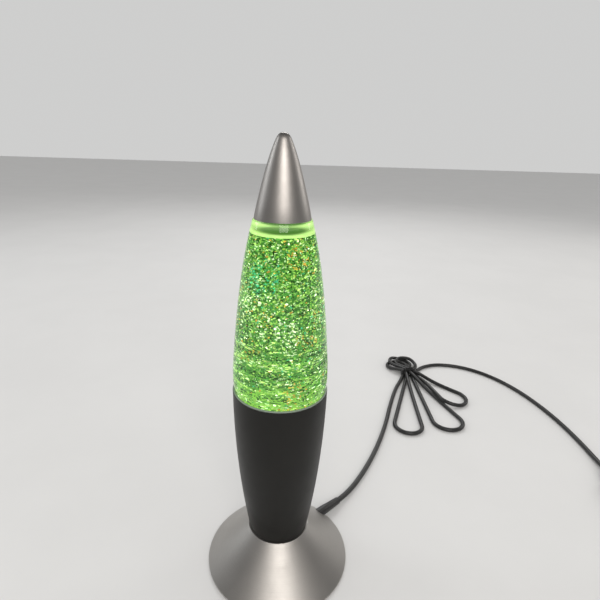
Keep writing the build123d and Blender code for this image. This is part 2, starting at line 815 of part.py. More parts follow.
with BuildPart() as switch_upper:
    with BuildSketch(switch_plane.offset(switch_seam + 0.02)):
        RectangleRounded(switch_length, switch_width, 7.0)
    extrude(amount=switch_top - switch_seam)
    fillet(switch_upper.edges().group_by(Axis.Z)[-1], radius=2.6)
    with BuildSketch(switch_plane.offset(switch_seam)):
        RectangleRounded(switch_length - 2 * switch_wall, switch_width - 2 * switch_wall, 5.4)
        with Locations((switch_screw_offset, -5.5), (-switch_screw_offset, 5.5)):
            Circle(screw_post, mode=Mode.SUBTRACT)
    extrude(amount=switch_top - switch_seam - switch_wall, mode=Mode.SUBTRACT)
    with BuildSketch(switch_plane.offset(rocker_height - 3.0)):
        with Locations((0, cheek_gap + cheek_thickness / 2), (0, -cheek_gap - cheek_thickness / 2)):
            Rectangle(7.0, cheek_thickness)
    extrude(amount=switch_top - rocker_height + 2.0)
    with BuildSketch(switch_plane.offset(switch_seam)):
        Rectangle(rocker_length + 1.0, 2 * cheek_gap)
    extrude(amount=switch_top, mode=Mode.SUBTRACT)
    with BuildSketch(pivot_plane):
        Circle(pivot_radius + 0.06)
    extrude(amount=cheek_gap + 3, both=True, mode=Mode.SUBTRACT)
    with BuildSketch(switch_plane.offset(switch_seam)):
        with Locations((switch_screw_offset, -5.5), (-switch_screw_offset, 5.5)):
            Circle(1.1)
    extrude(amount=6.0, mode=Mode.SUBTRACT)
    with BuildSketch(Plane(origin=switch_plane.origin + Vector(0, 0, switch_seam), z_dir=switch_plane.x_dir)):
        Circle(cord_radius + 0.1)
    extrude(amount=switch_length, both=True, mode=Mode.SUBTRACT)
save(switch_upper.part, "switch_upper")

rocker_arc = rocker_length / 2
rocker_crest = 4.7         # top of the rocker's middle, above its pivot
rocker_plane = Plane(
    origin=pivot_plane.origin,
    x_dir=pivot_plane.x_dir * cos(radians(rocker_tilt)) + pivot_plane.y_dir * sin(radians(rocker_tilt)),
    z_dir=pivot_plane.z_dir,
)

with BuildPart() as switch_rocker:
    with BuildSketch(rocker_plane):
        Circle(rocker_arc)
        with BuildLine(mode=Mode.PRIVATE) as rocker_face:
            Polyline(
                (-9, rocker_crest + 9 * tan(radians(rocker_tilt))),
                (0, rocker_crest),
                (9, rocker_crest + 9 * tan(radians(rocker_tilt))),
                (9, -3.0),
                (-9, -3.0),
                close=True,
            )
        make_face(rocker_face.edges(), mode=Mode.INTERSECT)
    extrude(amount=rocker_width / 2, both=True)
    with BuildSketch(pivot_plane):
        Circle(pivot_radius)
    extrude(amount=cheek_gap + cheek_thickness, both=True)
save(switch_rocker.part, "switch_rocker")

with BuildPart() as switch_contacts:
    with BuildSketch(switch_plane.offset(switch_bottom + switch_wall + snug_gap)):
        with Locations((9.5, 3.2), (-9.5, 3.2)):
            Rectangle(9.0, 3.6)
    extrude(amount=0.6)
    with BuildSketch(switch_plane.offset(switch_bottom + switch_wall + snug_gap)):
        with Locations((9.5, -3.2), (-9.5, -3.2)):
            Rectangle(9.0, 3.6)
    extrude(amount=2.2)
save(switch_contacts.part, "switch_contacts")

with BuildPart() as switch_screws:
    for x, y in ((switch_screw_offset, -5.5), (-switch_screw_offset, 5.5)):
        place = switch_plane.location * Location((x, y, 2.28))
        add(pan_screw(2.2, 1.2, 1.0, 8.6).moved(place))
save(switch_screws.part, "switch_screws")

# ---------------------------------------------------------------- plug
plug_start = (318.0, -18.0)      # where the lead enters its strain relief
plug_turn = -122.0
plug_height = 6.9                # its middle, above the table
plug_thickness = 13.7
plug_width = 35.3
plug_relief_length = 22.0
plug_body_length = 33.0
pin_spacing = 18.6
pin_radius = 2.0
pin_length = 19.0
plug_plane = Plane(
    origin=(*plug_start, plug_height),
    x_dir=(cos(radians(plug_turn)), sin(radians(plug_turn)), 0),
    z_dir=(0, 0, 1),
)
plug_end = plug_relief_length + plug_body_length

with BuildPart() as plug_body:
    with BuildSketch(plug_plane):
        with BuildLine():
            Polyline(
                (plug_relief_length, 5.0),
                (plug_relief_length + 10, 9.0),
                (plug_end - 8, plug_width / 2),
                (plug_end, plug_width / 2),
                (plug_end, -plug_width / 2),
                (plug_end - 8, -plug_width / 2),
                (plug_relief_length + 10, -9.0),
                (plug_relief_length, -5.0),
                close=True,
            )
        make_face()
    extrude(amount=plug_thickness / 2, both=True)
    fillet(plug_body.edges().filter_by(Axis.Z), radius=1.6)
    fillet(plug_body.faces().group_by(Axis.Z)[-1].edges(), radius=1.5)
    fillet(plug_body.faces().group_by(Axis.Z)[0].edges(), radius=1.5)
save(plug_body.part, "plug_body")

with BuildPart() as plug_relief:
    with BuildSketch(plug_plane):
        with BuildLine():
            Polyline((0, cord_radius + 0.05), (0, 3.4), (plug_relief_length - 0.05, 5.0))
            Polyline(
                (plug_relief_length - 0.05, 5.0),
                (plug_relief_length - 0.05, cord_radius + 0.05),
                (0, cord_radius + 0.05),
            )
        make_face()
    revolve(axis=Axis(plug_plane.origin, plug_plane.x_dir))
    for number in range(5):
        with BuildSketch(plug_plane):
            with Locations((4.0 + 3.6 * number, 4.4 + 0.25 * number)):
                Rectangle(1.2, 1.4)
        revolve(axis=Axis(plug_plane.origin, plug_plane.x_dir), mode=Mode.SUBTRACT)
save(plug_relief.part, "plug_relief")

with BuildPart() as plug_pins:
    pin_face = Plane(
        origin=plug_plane.origin + plug_plane.x_dir * (plug_end + 0.02),
        x_dir=plug_plane.y_dir,
        z_dir=plug_plane.x_dir,
    )
    with BuildSketch(pin_face):
        with Locations((pin_spacing / 2, 0), (-pin_spacing / 2, 0)):
            Circle(pin_radius)
    extrude(amount=pin_length)
    fillet(plug_pins.edges().filter_by(GeomType.CIRCLE).group_by(Axis(plug_plane.origin, plug_plane.x_dir))[-1], radius=1.0)
save(plug_pins.part, "plug_pins")

# ---------------------------------------------------------------- the lead from the hank to the plug
switch_entry = switch_plane.origin - switch_plane.x_dir * (switch_length / 2)
switch_exit = switch_plane.origin + switch_plane.x_dir * (switch_length / 2)
tail_route = [
    (191.0, 327.5, 4.0),
    (207.0, 341.0, 2.9),
    (233.0, 351.5, 2.5),
    (263.0, 348.0, 2.5),
    (291.0, 333.0, 2.5),
    (315.0, 307.0, 2.5),
    (333.0, 273.0, 2.5),
    (345.0, 234.0, 2.5),
    (352.0, 194.0, 2.5),
    (354.5, 156.0, 2.5),
    (353.5, 124.0, 3.4),
    (switch_entry.X, switch_entry.Y, switch_seam),
]
save(tube(tail_route, cord_radius), "cord_tail")

end_route = [
    (switch_exit.X, switch_exit.Y, switch_seam),
    (343.5, 21.0, 4.0),
    (337.0, 6.0, 2.9),
    (328.5, -4.5, 3.4),
    (plug_start[0], plug_start[1], plug_height),
]
save(tube(end_route, cord_radius), "cord_end")
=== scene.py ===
import json
import math
import random

import bpy
from mathutils import Matrix, Vector


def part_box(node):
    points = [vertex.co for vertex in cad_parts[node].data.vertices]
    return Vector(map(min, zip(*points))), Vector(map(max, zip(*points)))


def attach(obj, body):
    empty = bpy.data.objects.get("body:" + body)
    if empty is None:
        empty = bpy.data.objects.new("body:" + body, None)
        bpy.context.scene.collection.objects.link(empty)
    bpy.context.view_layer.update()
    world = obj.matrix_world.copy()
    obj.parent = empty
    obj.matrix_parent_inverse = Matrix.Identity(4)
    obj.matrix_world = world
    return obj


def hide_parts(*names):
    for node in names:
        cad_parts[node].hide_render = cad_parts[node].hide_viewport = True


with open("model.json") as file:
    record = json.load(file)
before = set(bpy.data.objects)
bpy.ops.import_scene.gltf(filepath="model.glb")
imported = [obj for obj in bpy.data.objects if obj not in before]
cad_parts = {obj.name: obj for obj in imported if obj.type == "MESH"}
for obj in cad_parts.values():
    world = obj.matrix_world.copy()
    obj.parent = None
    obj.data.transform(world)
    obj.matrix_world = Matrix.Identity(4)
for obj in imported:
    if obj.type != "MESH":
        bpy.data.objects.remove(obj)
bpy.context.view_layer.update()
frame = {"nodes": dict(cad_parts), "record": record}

parts = frame["nodes"]
mm = 0.001
print("frame loaded:", len(parts), "nodes")


# camera

cameraLook = {
    "place": (0.01279, -0.29271, 0.33674),
    "pitchDown": 19.78,   # degrees below level
    "roll": 1.70,
    "lens": 27.0,
}


def placeCamera():
    data = bpy.data.cameras.new("mainCamera")
    data.lens = cameraLook["lens"]
    data.sensor_width = 36.0
    data.clip_start = 0.01
    data.clip_end = 50.0
    camera = bpy.data.objects.new("mainCamera", data)
    bpy.context.scene.collection.objects.link(camera)
    tilt = Matrix.Rotation(math.radians(90.0 - cameraLook["pitchDown"]), 4, "X")
    roll = Matrix.Rotation(math.radians(cameraLook["roll"]), 4, "Z")
    camera.matrix_world = Matrix.Translation(cameraLook["place"]) @ tilt @ roll
    bpy.context.scene.camera = camera


placeCamera()


# the lead: out of the foot, along the table into the hank, on to the switch and the plug

lead = {
    "diameter": 5.0,
    "mainLength": 1.857,   # from the foot to the switch, metres
    "endLength": 0.064,   # from the switch to the plug
    "tubeSides": 8,
    # points on the table, millimetres
    "toHank": [
        (55.02, 55.02, 4.74),
        (66.0, 66.5, 2.9),
        (86.0, 98.0, 2.5),
        (106.0, 138.0, 2.5),
        (124.0, 184.0, 2.5),
        (138.0, 230.0, 2.5),
        (153.0, 272.0, 2.5),
        (165.0, 296.0, 2.7),
    ],
    "toSwitch": [
        (198.0, 330.5, 2.8),
        (211.5, 343.0, 2.5),
        (233.0, 351.5, 2.5),
        (263.0, 348.0, 2.5),
        (291.0, 333.0, 2.5),
        (315.0, 307.0, 2.5),
        (333.0, 273.0, 2.5),
        (345.0, 234.0, 2.5),
        (352.0, 194.0, 2.5),
        (354.5, 156.0, 2.5),
        (353.5, 124.0, 3.4),
        (351.615, 97.886, 6.5),
    ],
    "toPlug": [
        (346.385, 38.114, 6.5),
        (343.5, 21.0, 4.0),
        (337.0, 6.0, 2.9),
        (328.5, -4.5, 3.4),
        (318.0, -18.0, 6.9),
    ],
}

hank = {
    "tiePlace": (182.0, 316.0),
    "turn": -78.0,            # the way the long loops lie, degrees
    "lowerLayer": 3.5,        # height in the tie of the strands that run up to the right
    "upperLayer": 8.6,        # and of those that cross over them, down to the right
    "strandGap": 5.8,
    "loopSides": (0.15, 0.40, 0.66, 0.90),    # where the points stand between the tie and the round end
    "foldSides": (0.60,),
    # length, half width, fan angle, then heights: down the right side, round the end, up the left side
    "loops": [
        (150.0, 17.0, -24.5, (6.8, 3.2, 2.5, 2.5), (2.5,) * 6, (2.5, 2.5, 2.5, 2.9)),
        (140.0, 19.0, -1.0, (6.8, 3.2, 2.5, 2.5), (2.5,) * 6, (2.5, 2.5, 2.5, 2.9)),
        (98.0, 20.0, 23.0, (7.8, 3.8, 2.5, 2.5), (2.5, 2.5, 2.5, 3.2, 5.6, 7.5), (7.6, 7.6, 7.2, 3.6)),
    ],
    # above the tie, up the right side, over the turn and down the left side
    "folds": [
        (44.0, 15.4, 194.5, (2.8,), (2.5, 2.5, 2.5, 2.5, 2.5, 2.8, 4.4), (7.2,)),
        (49.5, 16.2, 181.0, (3.2,), (2.6, 2.5, 3.0, 5.0, 7.4, 7.8, 7.2), (7.8,)),
        (45.0, 15.6, 167.0, (5.4,), (3.6, 4.4, 7.4, 7.9, 7.9, 6.4, 6.4), (7.8,)),
    ],
}


def hankPoint(along, across, height):
    # from the hank's own axes, along the long loops and across them, to the table
    turn = math.radians(hank["turn"])
    x = hank["tiePlace"][0] + along * math.cos(turn) - across * math.sin(turn)
    y = hank["tiePlace"][1] + along * math.sin(turn) + across * math.cos(turn)
    return (x, y, height)


def onTheWay(start, end, share, height):
    return (start[0] + (end[0] - start[0]) * share, start[1] + (end[1] - start[1]) * share, height)


def hankTurn(length, halfWidth, fan, away, end, back, sides, side, offsets):
    # out from the tie, round an end whose sides run straight back to the tie, and in again
    reach = length - halfWidth
    sweep = math.pi / 2 + math.asin(halfWidth / reach)
    step = 2 * sweep / len(end)
    bend = halfWidth / math.cos(step / 2)
    turn = math.radians(fan)
    around = []
    for number, height in enumerate(end):
        angle = step * ((len(end) - 1) / 2 - number)
        along = reach + bend * math.cos(angle)
        across = side * bend * math.sin(angle)
        around.append(hankPoint(
            along * math.cos(turn) - across * math.sin(turn),
            along * math.sin(turn) + across * math.cos(turn),
            height,
        ))
    start = hankPoint(0, offsets[0], 0)
    finish = hankPoint(0, offsets[1], 0)
    out = [onTheWay(start, around[0], share, height) for share, height in zip(sides, away)]
    home = [onTheWay(finish, around[-1], share, height) for share, height in zip(sides[::-1], back)]
    return out + around + home


def hankRoute():
    gap = hank["strandGap"]
    points = [hankPoint(0, -1.5 * gap, hank["lowerLayer"])]
    for number, (fold, loop) in enumerate(zip(hank["folds"], hank["loops"])):
        arriving = (number - 1.5) * gap
        crossing = (number - 1) * gap
        leaving = (number - 0.5) * gap
        points += hankTurn(*fold, hank["foldSides"], -1, (arriving, crossing))
        points.append(hankPoint(0, crossing, hank["upperLayer"]))
        points += hankTurn(*loop, hank["loopSides"], 1, (crossing, leaving))
        points.append(hankPoint(0, leaving, hank["lowerLayer"]))
    return points


def nurbsCord(name, points, body):
    curve = bpy.data.curves.new(name, "CURVE")
    curve.dimensions = "3D"
    # the tube's radius sits on its points, so that the curve's own box is as tight as the tube
    curve.bevel_depth = 1.0
    curve.bevel_resolution = lead["tubeSides"]
    curve.use_fill_caps = True
    spline = curve.splines.new("NURBS")
    spline.points.add(len(points) - 1)
    for controlPoint, (x, y, z) in zip(spline.points, points):
        controlPoint.co = (x * mm, y * mm, z * mm, 1.0)
        controlPoint.radius = lead["diameter"] * mm / 2
    spline.order_u = 3
    spline.use_endpoint_u = True
    spline.resolution_u = 8
    cord = bpy.data.objects.new(name, curve)
    bpy.context.scene.collection.objects.link(cord)
    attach(cord, body)
    return cord


mainLead = nurbsCord("mains_lead", lead["toHank"] + hankRoute() + lead["toSwitch"], "base")
plugLead = nurbsCord("plug_lead", lead["toPlug"], "base")
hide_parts("cord_lead", "cord_hank", "cord_tail")
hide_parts("cord_end")
print("lead laid")


# materials: small helpers, then the effects that several finishes share

def addNode(tree, kind, **values):
    node = tree.nodes.new("ShaderNode" + kind)
    for name, value in values.items():
        if name in node.inputs:
            node.inputs[name].default_value = value
        else:
            setattr(node, name, value)
    return node


def link(tree, start, end):
    tree.links.new(start, end)


def newMaterial(name, **values):
    # values are the shader's own sockets, with _ for a space
    material = bpy.data.materials.new(name)
    material.use_nodes = True
    shader = material.node_tree.nodes["Principled BSDF"]
    for socket, value in values.items():
        shader.inputs[socket.replace("_", " ")].default_value = value
    return material, material.node_tree, shader


def startGroup(name, inputs, outputs):
    tree = bpy.data.node_groups.new(name, "ShaderNodeTree")
    for socket, value in inputs.items():
        made = tree.interface.new_socket(name=socket, in_out="INPUT", socket_type="NodeSocketFloat")
        made.default_value = value
    for socket, kind in outputs.items():
        tree.interface.new_socket(name=socket, in_out="OUTPUT", socket_type="NodeSocket" + kind)
    return tree, tree.nodes.new("NodeGroupInput"), tree.nodes.new("NodeGroupOutput")


def useGroup(tree, group, **values):
    node = tree.nodes.new("ShaderNodeGroup")
    node.node_tree = group
    for socket, value in values.items():
        node.inputs[socket].default_value = value
    return node


def maths(tree, operation, first, second=0.5, clamp=False):
    node = tree.nodes.new("ShaderNodeMath")
    node.operation = operation
    node.use_clamp = clamp
    for number, value in enumerate((first, second)):
        if isinstance(value, (int, float)):
            node.inputs[number].default_value = value
        else:
            tree.links.new(value, node.inputs[number])
    return node.outputs[0]


def mixColour(tree, factor, first, second):
    node = tree.nodes.new("ShaderNodeMix")
    node.data_type = "RGBA"
    for socket, value in ((0, factor), (6, first), (7, second)):
        if isinstance(value, (int, float)):
            node.inputs[socket].default_value = value
        elif isinstance(value, tuple):
            node.inputs[socket].default_value = (*value[:3], 1.0)
        else:
            tree.links.new(value, node.inputs[socket])
    return node.outputs[2]


def spread(tree, value, low, high, outLow=0.0, outHigh=1.0):
    node = tree.nodes.new("ShaderNodeMapRange")
    node.interpolation_type = "SMOOTHSTEP"
    for socket, number in zip((1, 2, 3, 4), (low, high, outLow, outHigh)):
        node.inputs[socket].default_value = number
    tree.links.new(value, node.inputs[0])
    return node.outputs[0]


def makeEdgeWear():
    # rounded normals leave the true ones along edges; noise breaks the line up
    tree, inside, outside = startGroup(
        "edgeWear", {"Width": 0.0005, "Amount": 1.0, "Breaks": 900.0}, {"Mask": "Float"})
    rounded = addNode(tree, "Bevel", samples=4)
    link(tree, inside.outputs["Width"], rounded.inputs["Radius"])
    geometry = addNode(tree, "NewGeometry")
    dot = addNode(tree, "VectorMath", operation="DOT_PRODUCT")
    link(tree, rounded.outputs["Normal"], dot.inputs[0])
    link(tree, geometry.outputs["Normal"], dot.inputs[1])
    edge = spread(tree, maths(tree, "SUBTRACT", 1.0, dot.outputs["Value"]), 0.02, 0.16)
    place = addNode(tree, "TexCoord")
    noise = addNode(tree, "TexNoise", Detail=3.0, Roughness=0.65)
    link(tree, place.outputs["Object"], noise.inputs["Vector"])
    link(tree, inside.outputs["Breaks"], noise.inputs["Scale"])
    broken = spread(tree, noise.outputs["Fac"], 0.42, 0.62)
    worn = maths(tree, "MULTIPLY", edge, broken)
    link(tree, maths(tree, "MULTIPLY", worn, inside.outputs["Amount"], True), outside.inputs["Mask"])
    return tree


def makeTurning():
    # fine rings left by the spinning lathe, each at one height, with a slow drift round the piece
    tree, inside, outside = startGroup(
        "turnedRings", {"Rings": 2600.0, "Drift": 40.0}, {"Height": "Float", "Sheen": "Float"})
    place = addNode(tree, "TexCoord")
    split = addNode(tree, "SeparateXYZ")
    link(tree, place.outputs["Object"], split.inputs["Vector"])
    wobble = addNode(tree, "TexNoise", Scale=28.0, Detail=1.0)
    link(tree, place.outputs["Object"], wobble.inputs["Vector"])
    shifted = maths(tree, "ADD", split.outputs["Z"], maths(tree, "MULTIPLY", wobble.outputs["Fac"], 0.0006))
    rings = addNode(tree, "TexNoise", noise_dimensions="1D", Detail=3.0, Roughness=0.7)
    link(tree, shifted, rings.inputs["W"])
    link(tree, inside.outputs["Rings"], rings.inputs["Scale"])
    broad = addNode(tree, "TexNoise", Detail=4.0, Roughness=0.6)
    link(tree, place.outputs["Object"], broad.inputs["Vector"])
    link(tree, inside.outputs["Drift"], broad.inputs["Scale"])
    link(tree, rings.outputs["Fac"], outside.inputs["Height"])
    sheen = maths(tree, "ADD", maths(tree, "MULTIPLY", rings.outputs["Fac"], 0.55),
                  maths(tree, "MULTIPLY", broad.outputs["Fac"], 0.45))
    link(tree, sheen, outside.inputs["Sheen"])
    return tree


def makeGrain():
    # moulded or cast grain: a fine pebble over a slower mottle
    tree, inside, outside = startGroup(
        "fineGrain", {"Scale": 2500.0, "Mottle": 90.0}, {"Height": "Float", "Mottle": "Float"})
    place = addNode(tree, "TexCoord")
    pebble = addNode(tree, "TexNoise", Detail=4.0, Roughness=0.6)
    mottle = addNode(tree, "TexNoise", Detail=5.0, Roughness=0.62)
    for noise, scale in ((pebble, "Scale"), (mottle, "Mottle")):
        link(tree, place.outputs["Object"], noise.inputs["Vector"])
        link(tree, inside.outputs[scale], noise.inputs["Scale"])
    link(tree, pebble.outputs["Fac"], outside.inputs["Height"])
    link(tree, spread(tree, mottle.outputs["Fac"], 0.3, 0.7), outside.inputs["Mottle"])
    return tree


def makeDust():
    # settles on what faces up, in patches
    tree, inside, outside = startGroup("settledDust", {"Amount": 0.3, "Scale": 420.0}, {"Mask": "Float"})
    geometry = addNode(tree, "NewGeometry")
    split = addNode(tree, "SeparateXYZ")
    link(tree, geometry.outputs["Normal"], split.inputs["Vector"])
    facing = spread(tree, split.outputs["Z"], 0.1, 0.95)
    place = addNode(tree, "TexCoord")
    noise = addNode(tree, "TexNoise", Detail=8.0, Roughness=0.75)
    link(tree, place.outputs["Object"], noise.inputs["Vector"])
    link(tree, inside.outputs["Scale"], noise.inputs["Scale"])
    patches = spread(tree, noise.outputs["Fac"], 0.38, 0.78)
    laid = maths(tree, "MULTIPLY", facing, patches)
    link(tree, maths(tree, "MULTIPLY", laid, inside.outputs["Amount"], True), outside.inputs["Mask"])
    return tree


edgeWear = makeEdgeWear()
turnedRings = makeTurning()
fineGrain = makeGrain()
settledDust = makeDust()
dustColour = (0.42, 0.40, 0.37)


def bumpFrom(tree, shader, height, strength, distance):
    bump = addNode(tree, "Bump", Strength=strength, Distance=distance)
    link(tree, height, bump.inputs["Height"])
    link(tree, bump.outputs["Normal"], shader.inputs["Normal"])


# metals

spunMetals = {
    "capSilver": {"colour": (0.56, 0.53, 0.50), "dark": (0.47, 0.45, 0.43), "rough": (0.37, 0.46),
                  "rings": 2400.0, "depth": 0.16, "bare": (0.82, 0.81, 0.79), "wear": 0.35, "metal": 1.0},
    "footSilver": {"colour": (0.58, 0.56, 0.53), "dark": (0.50, 0.48, 0.46), "rough": (0.40, 0.50),
                   "rings": 2000.0, "depth": 0.20, "bare": (0.84, 0.83, 0.81), "wear": 0.8, "metal": 1.0},
    # painted dark reflection: the collar's near-black colour stands in for a dark room mirrored in silver metal
    # like the foot's and cap's
    "collarPaintedDarkReflection": {"colour": (0.023, 0.022, 0.020), "dark": (0.016, 0.016, 0.015), "rough": (0.38, 0.50),
                       "rings": 1800.0, "depth": 0.14, "bare": (0.30, 0.29, 0.28), "wear": 0.5, "metal": 0.70},
}


def spunMetal(name):
    look = spunMetals[name]
    material, tree, shader = newMaterial(name, Metallic=look["metal"], Anisotropic=0.45)
    rings = useGroup(tree, turnedRings, Rings=look["rings"], Drift=55.0)
    wear = useGroup(tree, edgeWear, Width=0.0006, Amount=look["wear"], Breaks=700.0)
    dust = useGroup(tree, settledDust, Amount=0.10, Scale=600.0)
    base = mixColour(tree, rings.outputs["Sheen"], look["dark"], look["colour"])
    base = mixColour(tree, wear.outputs["Mask"], base, look["bare"])
    base = mixColour(tree, dust.outputs["Mask"], base, dustColour)
    link(tree, base, shader.inputs["Base Color"])
    rough = spread(tree, rings.outputs["Sheen"], 0.25, 0.75, look["rough"][1], look["rough"][0])
    link(tree, maths(tree, "ADD", rough, maths(tree, "MULTIPLY", dust.outputs["Mask"], 0.5), True),
         shader.inputs["Roughness"])
    bumpFrom(tree, shader, rings.outputs["Height"], look["depth"], 0.00004)
    return material


def platedMetal(name, colour, dull, rough, tarnish):
    # zinc, nickel, brass and solder: bright plating with a cloudy film
    material, tree, shader = newMaterial(name, Metallic=1.0)
    grain = useGroup(tree, fineGrain, Scale=5200.0, Mottle=420.0)
    wear = useGroup(tree, edgeWear, Width=0.0003, Amount=0.5, Breaks=2400.0)
    cloudy = maths(tree, "MULTIPLY", grain.outputs["Mottle"], tarnish)
    base = mixColour(tree, cloudy, colour, dull)
    bright = tuple(min(1.0, value * 1.25) for value in colour)
    link(tree, mixColour(tree, wear.outputs["Mask"], base, bright), shader.inputs["Base Color"])
    link(tree, maths(tree, "ADD", rough, maths(tree, "MULTIPLY", cloudy, 0.25)), shader.inputs["Roughness"])
    bumpFrom(tree, shader, grain.outputs["Height"], 0.15, 0.00003)
    return material


# plastics and rubber

plastics = {
    # colour, roughness, pebble scale, bump, dust, wear
    "mouldedBlack": ((0.016, 0.016, 0.017), 0.38, 3200.0, 0.22, 0.10, 0.50),
    "rockerBlack": ((0.020, 0.020, 0.021), 0.24, 5200.0, 0.08, 0.05, 0.60),
    "plugBlack": ((0.014, 0.014, 0.014), 0.50, 2600.0, 0.35, 0.12, 0.55),
    "plateBlack": ((0.020, 0.020, 0.020), 0.55, 1700.0, 0.40, 0.04, 0.40),
    "phenolicBlack": ((0.012, 0.011, 0.011), 0.22, 4200.0, 0.10, 0.07, 0.60),
    "closureBlack": ((0.018, 0.018, 0.018), 0.46, 2400.0, 0.25, 0.03, 0.50),
    "foamBlack": ((0.030, 0.030, 0.030), 0.88, 1400.0, 0.90, 0.02, 0.10),
    "linerWhite": ((0.72, 0.72, 0.69), 0.70, 1500.0, 0.45, 0.02, 0.10),
    "nylonWhite": ((0.66, 0.66, 0.63), 0.42, 2600.0, 0.20, 0.03, 0.20),
    "feetRubber": ((0.012, 0.012, 0.012), 0.72, 1900.0, 0.55, 0.05, 0.20),
    "seatRubber": ((0.20, 0.24, 0.20), 0.42, 2200.0, 0.25, 0.04, 0.20),
    "ceramicCream": ((0.68, 0.66, 0.60), 0.52, 1500.0, 0.30, 0.04, 0.25),
    "wireBrown": ((0.16, 0.060, 0.026), 0.42, 2600.0, 0.15, 0.03, 0.10),
    "wireBlue": ((0.030, 0.100, 0.340), 0.42, 2600.0, 0.15, 0.03, 0.10),
    "tieBlack": ((0.020, 0.020, 0.020), 0.34, 3600.0, 0.18, 0.07, 0.50),
    "blackGlass": ((0.010, 0.010, 0.011), 0.08, 900.0, 0.05, 0.03, 0.20),
}


def plastic(name):
    colour, rough, pebble, bump, dusty, worn = plastics[name]
    material, tree, shader = newMaterial(name, IOR=1.48)
    grain = useGroup(tree, fineGrain, Scale=pebble, Mottle=110.0)
    wear = useGroup(tree, edgeWear, Width=0.0004, Amount=worn, Breaks=1500.0)
    dust = useGroup(tree, settledDust, Amount=dusty, Scale=1300.0)
    lighter = tuple(value * 1.7 + 0.01 for value in colour)
    rubbed = tuple(min(0.9, value * 2.2 + 0.05) for value in colour)
    base = mixColour(tree, maths(tree, "MULTIPLY", grain.outputs["Mottle"], 0.4), colour, lighter)
    base = mixColour(tree, wear.outputs["Mask"], base, rubbed)
    base = mixColour(tree, dust.outputs["Mask"], base, dustColour)
    link(tree, base, shader.inputs["Base Color"])
    uneven = maths(tree, "ADD", rough, maths(tree, "MULTIPLY", grain.outputs["Mottle"], 0.12))
    link(tree, maths(tree, "ADD", uneven, maths(tree, "MULTIPLY", dust.outputs["Mask"], 0.6), True),
         shader.inputs["Roughness"])
    bumpFrom(tree, shader, grain.outputs["Height"], bump, 0.00006)
    return material


def flexSheath():
    # soft PVC: slight ripple along the lead, scuffs and dust on top
    material, tree, shader = newMaterial("flexBlack", IOR=1.50)
    grain = useGroup(tree, fineGrain, Scale=1500.0, Mottle=160.0)
    dust = useGroup(tree, settledDust, Amount=0.11, Scale=1500.0)
    place = addNode(tree, "TexCoord")
    scuff = addNode(tree, "TexNoise", Scale=260.0, Detail=7.0, Roughness=0.8, Distortion=1.4)
    link(tree, place.outputs["Object"], scuff.inputs["Vector"])
    scuffed = spread(tree, scuff.outputs["Fac"], 0.64, 0.78, 0.0, 0.22)
    base = mixColour(tree, grain.outputs["Mottle"], (0.011, 0.011, 0.011), (0.022, 0.022, 0.022))
    base = mixColour(tree, scuffed, base, (0.085, 0.083, 0.080))
    base = mixColour(tree, dust.outputs["Mask"], base, dustColour)
    link(tree, base, shader.inputs["Base Color"])
    rough = maths(tree, "ADD", 0.30, maths(tree, "MULTIPLY", grain.outputs["Mottle"], 0.14))
    rough = maths(tree, "ADD", rough, maths(tree, "MULTIPLY", scuffed, 0.6))
    link(tree, maths(tree, "ADD", rough, maths(tree, "MULTIPLY", dust.outputs["Mask"], 0.5), True),
         shader.inputs["Roughness"])
    bumpFrom(tree, shader, grain.outputs["Height"], 0.30, 0.00012)
    return material


# glass, liquid and light

def clearGlass(name, tint, ior):
    # polished, with a few drawn-glass waves
    material, tree, shader = newMaterial(name, Roughness=0.02, IOR=ior)
    shader.inputs["Transmission Weight"].default_value = 1.0
    shader.inputs["Base Color"].default_value = (*tint, 1.0)
    place = addNode(tree, "TexCoord")
    waves = addNode(tree, "TexNoise", Scale=38.0, Detail=1.5, Roughness=0.4)
    link(tree, place.outputs["Object"], waves.inputs["Vector"])
    bumpFrom(tree, shader, waves.outputs["Fac"], 0.12, 0.0006)
    return material


def reflectorGlass():
    # the lamp's own bulb: silvered below its widest band, bright through the clear front
    material, tree, shader = newMaterial("bulbReflector", Roughness=0.10)
    place = addNode(tree, "TexCoord")
    split = addNode(tree, "SeparateXYZ")
    link(tree, place.outputs["Object"], split.inputs["Vector"])
    front = spread(tree, split.outputs["Z"], 0.1125, 0.1150)
    frost = addNode(tree, "TexNoise", Scale=900.0, Detail=3.0)
    link(tree, place.outputs["Object"], frost.inputs["Vector"])
    link(tree, maths(tree, "SUBTRACT", 1.0, front), shader.inputs["Metallic"])
    link(tree, mixColour(tree, front, (0.80, 0.79, 0.76), (0.95, 0.90, 0.78)), shader.inputs["Base Color"])
    link(tree, mixColour(tree, front, (0.0, 0.0, 0.0), (1.0, 0.86, 0.58)), shader.inputs["Emission Color"])
    shader.inputs["Emission Strength"].default_value = 1.1
    bumpFrom(tree, shader, frost.outputs["Fac"], 0.15, 0.00008)
    return material


def glowingFilament():
    material, tree, shader = newMaterial("filamentGlow", Metallic=1.0, Roughness=0.4)
    place = addNode(tree, "TexCoord")
    split = addNode(tree, "SeparateXYZ")
    link(tree, place.outputs["Object"], split.inputs["Vector"])
    hot = spread(tree, split.outputs["Z"], 0.101, 0.103)
    link(tree, mixColour(tree, hot, (0.0, 0.0, 0.0), (1.0, 0.62, 0.22)), shader.inputs["Emission Color"])
    link(tree, mixColour(tree, hot, (0.30, 0.29, 0.27), (0.9, 0.6, 0.3)), shader.inputs["Base Color"])
    shader.inputs["Emission Strength"].default_value = 6.0
    return material


